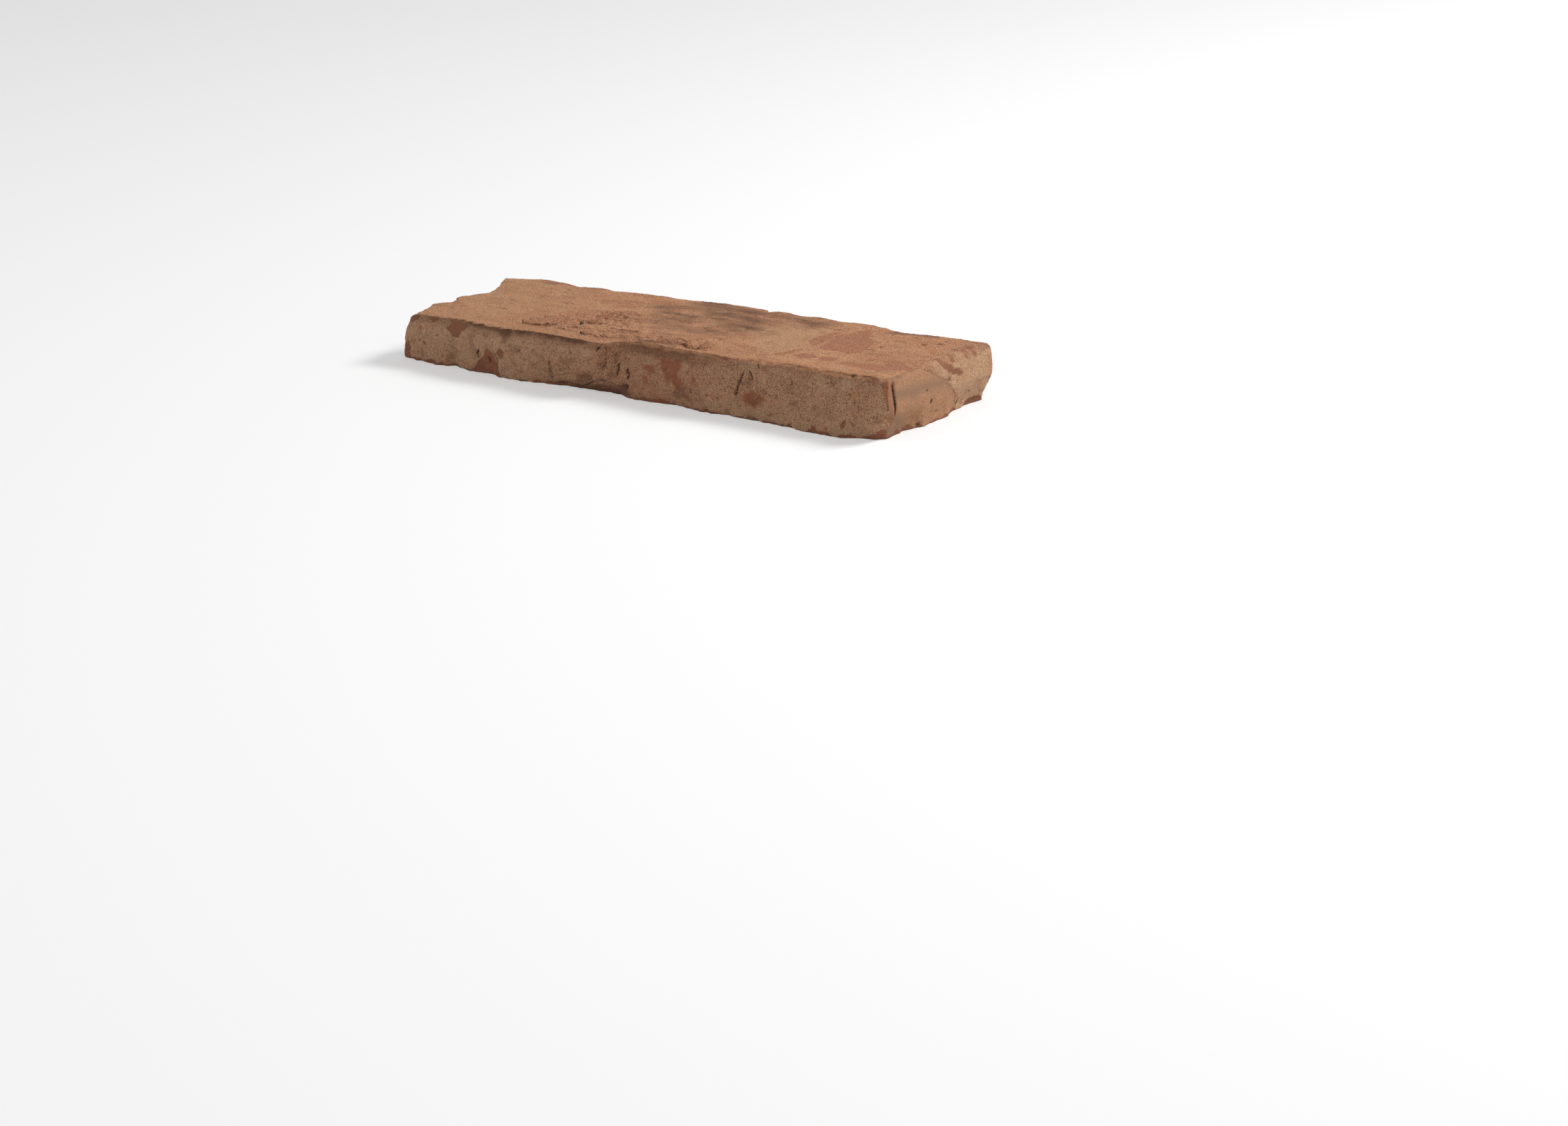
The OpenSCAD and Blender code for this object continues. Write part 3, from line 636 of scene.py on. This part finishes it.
def moulded_clay():
    """Fired clay thrown into a sanded mould. It looks matt and mealy: tan slurry and fine sand
    dragged over the struck face, coarser sand baked on the sides, brown clay where either has
    come away, and a rubbed, sandless flat on the whole end."""
    material, tree, out = new_material("Fired clay, sand-moulded")
    where = add(tree, "ShaderNodeTexCoord").outputs["Object"]
    mark = {name: add(tree, "ShaderNodeAttribute", attribute_name=name).outputs["Fac"]
            for name in ("bare", "rubbed", "ash", "soot", "pale_and_painted_light", "sand", "top_film", "torn", "shade_and_dark_clay", "rusty", "lip",
                         "orange", "crack_off", "crack_shade")}
    # grit of just over a third of a millimetre, crumbs of it, and softer patterns of a few millimetres
    grit = grains(tree, where, 0.38, 2)
    crumb = grains(tree, where, 0.7, 3)
    mottle = grains(tree, where, 6, 4)
    cloud = grains(tree, where, 18, 4, (0.6, 1.2, 1), 10)
    drag = grains(tree, where, 5, 5, (0.3, 1.5, 1), 11)
    dashes = grains(tree, where, 2.6, 3, (0.6, 1.4, 1), 8)
    clumps = grains(tree, where, 2.1, 3, (1, 1, 0.8))
    body = mixed(tree, levels(tree, mottle, 0.35, 0.65), to_linear(CLAY_BROWN), to_linear(CLAY_RED))
    body = mixed(tree, levels(tree, grit, 0.62, 0.36), body, to_linear(DARK_CLAY_AND_SHADE))
    film = mixed(tree, levels(tree, cloud, 0.42, 0.6), to_linear(FILM_TAN), to_linear(FILM_ROSE))
    film = mixed(tree, levels(tree, drag, 0.56, 0.72), film, to_linear(CLAY_RED))
    film = mixed(tree, mark["pale_and_painted_light"], film, to_linear(FILM_PALE))
    film = mixed(tree, levels(tree, mottle, 0.58, 0.75), film, to_linear(CLAY_ORANGE))
    film = mixed(tree, mark["orange"], film, mixed(tree, levels(tree, drag, 0.4, 0.6), film, to_linear(CLAY_ORANGE)))
    film = mixed(tree, mark["torn"], film, mixed(tree, levels(tree, clumps, 0.52, 0.36), film, to_linear(CLAY_RED)))
    raw = add(tree, "ShaderNodeMath", {0: mark["rusty"], 1: levels(tree, clumps, 0.3, 0.5)}, operation="MULTIPLY").outputs[0]
    film = mixed(tree, raw, film, mixed(tree, levels(tree, grit, 0.4, 0.6), to_linear(CLAY_RED), to_linear(CLAY_ORANGE)))
    film = mixed(tree, levels(tree, grit, 0.49, 0.29), film, to_linear(SAND_BROWN))
    patch = add(tree, "ShaderNodeMath", {0: levels(tree, grains(tree, where, 7, 5, (0.7, 1.2, 1), 14), 0.54, 0.7), 1: 0.4},
                operation="MULTIPLY").outputs[0]
    film = mixed(tree, patch, film, to_linear(CLAY_BROWN))
    film = mixed(tree, levels(tree, dashes, 0.62, 0.74), film, to_linear(DARK_CLAY_AND_SHADE))
    film = mixed(tree, levels(tree, crumb, 0.51, 0.65), film, to_linear(SAND_PALE))
    coat = mixed(tree, levels(tree, grit, 0.38, 0.57), to_linear(SAND_BROWN), to_linear(SAND_TAN))
    coat = mixed(tree, levels(tree, crumb, 0.57, 0.72), coat, to_linear(SAND_PALE))
    # paler sand, and painted light on the roll
    paler_and_lit = add(tree, "ShaderNodeMath", {0: mark["pale_and_painted_light"], 1: levels(tree, crumb, 0.25, 0.6)}, operation="MULTIPLY").outputs[0]
    coat = mixed(tree, paler_and_lit, coat, to_linear(SAND_PALE))
    coat = mixed(tree, levels(tree, mottle, 0.55, 0.8), coat, to_linear(FILM_ROSE))
    coat = mixed(tree, levels(tree, crumb, 0.36, 0.2), coat, to_linear(DARK_CLAY_AND_SHADE))
    coat = mixed(tree, levels(tree, clumps, 0.62, 0.76), coat, to_linear(DARK_CLAY_AND_SHADE))
    stain = add(tree, "ShaderNodeMath", {0: levels(tree, grains(tree, where, 5, 4), 0.54, 0.7), 1: 0.5}, operation="MULTIPLY")
    coat = mixed(tree, stain.outputs[0], coat, to_linear(CLAY_BROWN))
    coat = mixed(tree, mark["orange"], coat, to_linear(CLAY_ORANGE))
    reddened = add(tree, "ShaderNodeMath", {0: mark["rusty"], 1: levels(tree, clumps, 0.22, 0.5)}, operation="MULTIPLY")
    coat = mixed(tree, reddened.outputs[0], coat, to_linear(CLAY_RED))
    # painted shade and darker sand, towards the dark clay colour
    coat = mixed(tree, mark["shade_and_dark_clay"], coat, to_linear(DARK_CLAY_AND_SHADE))
    rub = mixed(tree, levels(tree, grains(tree, where, 4, 4), 0.48, 0.66), to_linear(RUBBED_TAN), to_linear(RUBBED_RED))
    rub = mixed(tree, levels(tree, clumps, 0.55, 0.8), rub, to_linear(ASH_GREY))
    rub = mixed(tree, levels(tree, crumb, 0.5, 0.3), rub, to_linear(CLAY_BROWN))
    rub = mixed(tree, levels(tree, grit, 0.56, 0.7), rub, to_linear(FILM_PALE))
    ash = add(tree, "ShaderNodeMath", {0: ragged(tree, mark["ash"], crumb, 1.6), 1: levels(tree, drag, 0.1, 0.45)},
              operation="MULTIPLY").outputs[0]
    rub = mixed(tree, ash, rub, to_linear(ASH_GREY))
    colour = mixed(tree, mark["top_film"], body, film)
    colour = mixed(tree, mark["sand"], colour, coat)
    smear = mixed(tree, levels(tree, crumb, 0.3, 0.6), to_linear(RUBBED_RED), to_linear(FILM_TAN))
    smear = mixed(tree, levels(tree, grit, 0.5, 0.7), smear, to_linear(FILM_PALE))
    colour = mixed(tree, mark["lip"], colour, smear)
    haze = grains(tree, where, 12, 5, (0.5, 1.3, 1), 8)
    smoke = add(tree, "ShaderNodeMath", {0: mark["soot"], 1: levels(tree, haze, 0.39, 0.62)}, operation="MULTIPLY").outputs[0]
    colour = mixed(tree, smoke, colour, to_linear(SOOT))
    colour = mixed(tree, ragged(tree, mark["rubbed"], crumb, 0.5), colour, rub)
    bare = ragged(tree, mark["bare"], crumb)
    smooth_clay = mixed(tree, levels(tree, crumb, 0.35, 0.65), body, to_linear(CLAY_SMEAR))
    open_clay = mixed(tree, mark["top_film"], body, smooth_clay)
    open_clay = mixed(tree, mark["orange"], open_clay, mixed(tree, levels(tree, clumps, 0.5, 0.7), rub, to_linear(CLAY_ORANGE)))
    colour = mixed(tree, bare, colour, open_clay)
    # the same painted shade and darker clay over the bare clay
    bare_shade_and_dark = add(tree, "ShaderNodeMath", {0: mark["shade_and_dark_clay"], 1: bare}, operation="MULTIPLY").outputs[0]
    colour = mixed(tree, bare_shade_and_dark, colour, to_linear(DARK_CLAY_AND_SHADE))
    lime = add(tree, "ShaderNodeTexVoronoi", {"Vector": where, "Scale": 1 / (2.4 * MM)})
    specks = add(tree, "ShaderNodeMath", {0: levels(tree, lime.outputs["Distance"], 0.13, 0.06), 1: bare},
                 operation="MULTIPLY").outputs[0]
    specks = add(tree, "ShaderNodeMath", {0: specks, 1: mark["top_film"]}, operation="MULTIPLY").outputs[0]
    colour = mixed(tree, specks, colour, to_linear(LIME_SPECK))
    # painted shade: a near-black core along the cracks, pits and flake steps
    bent = add(tree, "ShaderNodeMath", {0: crumb, 1: 2.4, 2: mark["crack_off"]}, operation="MULTIPLY_ADD").outputs[0]
    off = add(tree, "ShaderNodeMath", {0: bent, 1: 1.2}, operation="SUBTRACT").outputs[0]
    off = add(tree, "ShaderNodeMath", {0: off}, operation="ABSOLUTE").outputs[0]
    painted_crack_shade = add(tree, "ShaderNodeMath", {0: levels(tree, off, 1.3, 0.55), 1: mark["crack_shade"]}, operation="MULTIPLY").outputs[0]
    painted_crack_shade = add(tree, "ShaderNodeMath", {0: painted_crack_shade, 1: levels(tree, crumb, 0.05, 0.4)}, operation="MULTIPLY").outputs[0]
    colour = mixed(tree, painted_crack_shade, colour, to_linear(CRACK_SHADE_AND_DARK_SPECK))
    # heights in millimetres: half a millimetre of grit, less where the clay is bare or rubbed,
    # and crumbs of up to a millimetre where the face is torn
    smoothed = add(tree, "ShaderNodeMath", {0: bare, 1: levels(tree, mark["rubbed"], -0.5, 0.5)}, operation="MAXIMUM")
    push = add(tree, "ShaderNodeMapRange", {"Value": smoothed.outputs[0], "To Min": 0.85, "To Max": 0.2}).outputs[0]
    lumps = add(tree, "ShaderNodeMath", {0: mark["torn"], 1: grains(tree, where, 2.4, 4, (0.8, 1.2, 1))}, operation="MULTIPLY")
    height = add(tree, "ShaderNodeMath", {0: grit, 1: crumb}, operation="ADD").outputs[0]
    height = add(tree, "ShaderNodeMath", {0: height, 1: 1.0}, operation="SUBTRACT").outputs[0]
    height = add(tree, "ShaderNodeMath", {0: height, 1: push}, operation="MULTIPLY").outputs[0]
    height = add(tree, "ShaderNodeMath", {0: lumps.outputs[0], 1: 1.6, 2: height}, operation="MULTIPLY_ADD").outputs[0]
    bump = add(tree, "ShaderNodeBump", {"Height": height, "Distance": MM, "Strength": 1.0})
    rough = add(tree, "ShaderNodeMapRange", {"Value": bare, "To Min": 0.92, "To Max": 0.82})
    shader = add(tree, "ShaderNodeBsdfPrincipled", {
        "Base Color": colour, "Roughness": rough.outputs[0], "Normal": bump.outputs[0], "Specular IOR Level": 0.3})
    tree.links.new(shader.outputs[0], out.inputs["Surface"])
    return material


def sawn_clay():
    """Fired clay cut through on a wet saw: even brick red with pale and dark specks and the
    blade's faint arcs."""
    material, tree, out = new_material("Fired clay, sawn")
    where = add(tree, "ShaderNodeTexCoord").outputs["Object"]
    body = mixed(tree, levels(tree, grains(tree, where, 9), 0.35, 0.65), to_linear(CLAY_RED), to_linear(CLAY_ORANGE))
    body = mixed(tree, levels(tree, grains(tree, where, 1.2, 1), 0.62, 0.72), body, to_linear(LIME_SPECK))
    body = mixed(tree, levels(tree, grains(tree, where, 1.6, 1, (1, 1, 1), 40), 0.66, 0.74), body, to_linear(CRACK_SHADE_AND_DARK_SPECK))
    arcs = add(tree, "ShaderNodeMapping", {"Vector": where, "Location": (0, 0.16, 0)})
    wave = add(tree, "ShaderNodeTexWave", {"Vector": arcs.outputs[0], "Scale": 1 / (9 * MM), "Distortion": 1.5,
                                           "Detail": 2.0}, wave_type="RINGS", rings_direction="Z")
    bump = add(tree, "ShaderNodeBump", {"Height": wave.outputs[0], "Distance": 0.15 * MM, "Strength": 0.5})
    shader = add(tree, "ShaderNodeBsdfPrincipled", {
        "Base Color": body, "Roughness": 0.85, "Normal": bump.outputs[0], "Specular IOR Level": 0.3})
    tree.links.new(shader.outputs[0], out.inputs["Surface"])
    return material


def sand_grains():
    """Quartz moulding sand, baked on: each grain has its own tone from cream to brown, and takes
    some of the soot or the iron red of the clay it sits on."""
    material, tree, out = new_material("Moulding sand, baked on")
    tone, shade_and_dark_clay, soot, rusty, pale_and_painted_light = (add(tree, "ShaderNodeAttribute", attribute_name=name).outputs["Fac"]
                                      for name in ("tone", "shade_and_dark_clay", "soot", "rusty", "pale_and_painted_light"))
    colour = mixed(tree, levels(tree, tone, 0.14, 0.5), to_linear(SAND_BROWN), to_linear(SAND_TAN))
    colour = mixed(tree, levels(tree, tone, 0.58, 0.9), colour, to_linear(SAND_PALE))
    # each grain also takes the paler sand and painted light, and the painted shade and darker clay, of the place it
    # sits on
    for mark, tint, most in ((pale_and_painted_light, SAND_PALE, 0.5), (shade_and_dark_clay, DARK_CLAY_AND_SHADE, 0.8), (rusty, CLAY_RED, 0.85), (soot, SOOT, 0.5)):
        colour = mixed(tree, add(tree, "ShaderNodeMath", {0: mark, 1: most}, operation="MULTIPLY").outputs[0],
                       colour, to_linear(tint))
    shader = add(tree, "ShaderNodeBsdfPrincipled", {"Base Color": colour, "Roughness": 0.8, "Specular IOR Level": 0.35})
    tree.links.new(shader.outputs[0], out.inputs["Surface"])
    return material


clay = moulded_clay()
cut_clay = sawn_clay()
slip_mesh = make_mesh("slip_body", points, faces.tolist() + [rim.tolist()])
slip_mesh.materials.append(clay)
slip_mesh.materials.append(cut_clay)
slip_mesh.polygons.foreach_set("use_smooth", [True] * len(faces) + [False])
slip_mesh.polygons[len(faces)].material_index = 1
for name, values in (
    ("bare", bare), ("rubbed", rubbed), ("ash", ash), ("soot", soot), ("pale_and_painted_light", pale_and_painted_light), ("sand", sand), ("torn", torn),
    ("top_film", up), ("shade_and_dark_clay", shade_and_dark_clay), ("rusty", rusty), ("lip", lip), ("orange", orange),
    ("crack_off", crack_off), ("crack_shade", crack_shade),
):
    add_mark(slip_mesh, name, values)
slip = bpy.data.objects.new("slip_body", slip_mesh)
bpy.context.collection.objects.link(slip)


def sand_scatter(name, host, weights, size, per_mm2, seed, material):
    """Scatters angular grains of sand over the host's faces, as thick as the weights say."""
    cloth = host.data.copy()
    add_mark(cloth, "thick", weights)
    source = bpy.data.objects.new(name, cloth)
    bpy.context.collection.objects.link(source)
    tree = bpy.data.node_groups.new("Sand scatter " + name, "GeometryNodeTree")
    face = tree.interface
    face.new_socket("Geometry", in_out="INPUT", socket_type="NodeSocketGeometry")
    for label, kind in (("Grain size", "NodeSocketFloat"), ("Grains per square metre", "NodeSocketFloat"),
                        ("Seed", "NodeSocketInt"), ("Material", "NodeSocketMaterial")):
        face.new_socket(label, in_out="INPUT", socket_type=kind)
    face.new_socket("Geometry", in_out="OUTPUT", socket_type="NodeSocketGeometry")
    inside = add(tree, "NodeGroupInput")
    thick = add(tree, "GeometryNodeInputNamedAttribute", {"Name": "thick"}, data_type="FLOAT")
    amount = add(tree, "ShaderNodeMath", {0: thick.outputs[0], 1: inside.outputs["Grains per square metre"]},
                 operation="MULTIPLY")
    spread = add(tree, "GeometryNodeDistributePointsOnFaces", {
        "Mesh": inside.outputs["Geometry"], "Density": amount.outputs[0], "Seed": inside.outputs["Seed"]})
    grain = add(tree, "GeometryNodeMeshUVSphere", {"Segments": 4, "Rings": 2, "Radius": 0.5})
    squeeze = add(tree, "FunctionNodeRandomValue", {0: (0.6, 0.6, 0.45), 1: (1.2, 1.1, 0.85), "Seed": 3},
                  data_type="FLOAT_VECTOR")
    sized = add(tree, "ShaderNodeVectorMath", {0: squeeze.outputs[0], "Scale": inside.outputs["Grain size"]},
                operation="SCALE")
    tipped = add(tree, "FunctionNodeRandomValue", {0: (-0.5, -0.5, 0), 1: (0.5, 0.5, 6.28), "Seed": 5},
                 data_type="FLOAT_VECTOR")
    turned = add(tree, "FunctionNodeRotateRotation", {"Rotation": spread.outputs["Rotation"],
                                                      "Rotate By": tipped.outputs[0]}, rotation_space="LOCAL")
    placed = add(tree, "GeometryNodeInstanceOnPoints", {
        "Points": spread.outputs["Points"], "Instance": grain.outputs["Mesh"],
        "Rotation": turned.outputs[0], "Scale": sized.outputs[0]})
    tone = add(tree, "FunctionNodeRandomValue", {2: 0.0, 3: 1.0, "Seed": 7}, data_type="FLOAT")
    toned = add(tree, "GeometryNodeStoreNamedAttribute", {
        "Geometry": placed.outputs[0], "Name": "tone", "Value": tone.outputs[1]}, data_type="FLOAT", domain="INSTANCE")
    real = add(tree, "GeometryNodeRealizeInstances", {"Geometry": toned.outputs[0]})
    done = add(tree, "GeometryNodeSetMaterial", {"Geometry": real.outputs[0], "Material": inside.outputs["Material"]})
    add(tree, "NodeGroupOutput", {"Geometry": done.outputs[0]})
    modifier = source.modifiers.new("Sand", "NODES")
    modifier.node_group = tree
    wanted = {"Grain size": size * MM, "Grains per square metre": per_mm2 / MM**2, "Seed": seed, "Material": material}
    for item in face.items_tree:
        if item.in_out == "INPUT" and item.name in wanted:
            modifier[item.identifier] = wanted[item.name]
    depsgraph = bpy.context.evaluated_depsgraph_get()
    mesh = bpy.data.meshes.new_from_object(source.evaluated_get(depsgraph))
    source.modifiers.clear()
    source.data = mesh
    mesh.name = name
    print(name, len(mesh.polygons), "faces")
    return source


quartz = sand_grains()
cracked = crack_shade * smooth(1.5, 0.8, np.abs(crack_off))
clear = (1 - np.clip(worn + cracked + flat + lip, 0, 1)) * smooth(0.7, 1.4, z)
coarse = sand_scatter("moulding_sand_sides", slip, clear * np.clip(front_side + np.maximum(whole_end, roll), 0, 1),
                      0.45, 3.2, 4, quartz)
fine = sand_scatter("moulding_sand_face", slip, clear * np.clip(up * (0.5 + 0.5 * torn) + 0.4 * back_side, 0, 1) * (1 - roll),
                    0.4, 2.0, 9, quartz)

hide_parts("brick_slip")
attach(slip, "root")
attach(coarse, "root")
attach(fine, "root")


def studio():
    """A plain pale floor, a soft key from the right and behind, a fill from the left and an even room."""
    material, tree, out = new_material("Pale studio floor")
    matt = add(tree, "ShaderNodeBsdfDiffuse", {"Color": (0.86, 0.86, 0.86, 1)})
    glow = add(tree, "ShaderNodeEmission", {"Color": (1, 1, 1, 1), "Strength": 1.0})
    path = add(tree, "ShaderNodeLightPath")
    seen = add(tree, "ShaderNodeMath", {0: path.outputs["Is Camera Ray"], 1: 0.35}, operation="MULTIPLY")
    both = add(tree, "ShaderNodeMixShader", {0: seen.outputs[0], 1: matt.outputs[0], 2: glow.outputs[0]})
    tree.links.new(both.outputs[0], out.inputs["Surface"])
    reach = 6.0
    sheet = bpy.data.meshes.new("floor")
    level = -0.1 * MM  # a hair below the underside, so that the two never lie in one plane
    sheet.from_pydata([(-reach, -reach, level), (reach, -reach, level), (reach, reach, level), (-reach, reach, level)],
                      [], [(0, 1, 2, 3)])
    sheet.materials.append(material)
    floor = bpy.data.objects.new("floor", sheet)
    bpy.context.collection.objects.link(floor)
    for name, at, size, power in (
        ("key", (0.9, 0.7, 1.0), 0.45, 23), ("fill", (-1.2, -1.0, 0.9), 1.4, 5), ("front", (0.5, -1.6, 0.9), 1.2, 3),
    ):
        lamp = bpy.data.lights.new(name, "AREA")
        lamp.size = size
        lamp.energy = power
        holder = bpy.data.objects.new(name, lamp)
        holder.location = at
        holder.rotation_euler = (-Vector(at)).to_track_quat("-Z", "Y").to_euler()
        bpy.context.collection.objects.link(holder)
    world = bpy.data.worlds.new("studio")
    bpy.context.scene.world = world
    world.use_nodes = True
    room = world.node_tree
    room.nodes.clear()
    path = add(room, "ShaderNodeLightPath")
    white = add(room, "ShaderNodeBackground", {"Color": (1, 1, 1, 1), "Strength": 1.0})
    even = add(room, "ShaderNodeBackground", {"Color": (1, 1, 1, 1), "Strength": 0.42})
    pick = add(room, "ShaderNodeMixShader", {0: path.outputs["Is Camera Ray"], 1: even.outputs[0], 2: white.outputs[0]})
    final = room.nodes.new("ShaderNodeOutputWorld")
    room.links.new(pick.outputs[0], final.inputs["Surface"])


def camera():
    """The photograph's own view and framing."""
    az, drop = math.radians(CAMERA_AZIMUTH), math.radians(CAMERA_DROP)
    ahead = Vector((-math.sin(az) * math.cos(drop), math.cos(az) * math.cos(drop), -math.sin(drop)))
    level = Vector((math.cos(az), math.sin(az), 0))
    up_side = level.cross(ahead)
    turn = Matrix.Rotation(math.radians(-CAMERA_ROLL), 3, ahead)
    level, up_side = turn @ level, turn @ up_side
    data = bpy.data.cameras.new("photo_view")
    data.sensor_width = 36.0
    data.lens = FOCAL_PX / IMAGE_W * data.sensor_width
    data.clip_start = 0.05
    data.clip_end = 30
    holder = bpy.data.objects.new("photo_view", data)
    axes = Matrix((level, up_side, -ahead)).transposed()
    holder.matrix_world = Matrix.Translation(Vector(CAMERA_AT) * MM) @ axes.to_4x4()
    bpy.context.collection.objects.link(holder)
    bpy.context.scene.camera = holder


studio()
camera()
bpy.context.scene.view_settings.view_transform = "Standard"
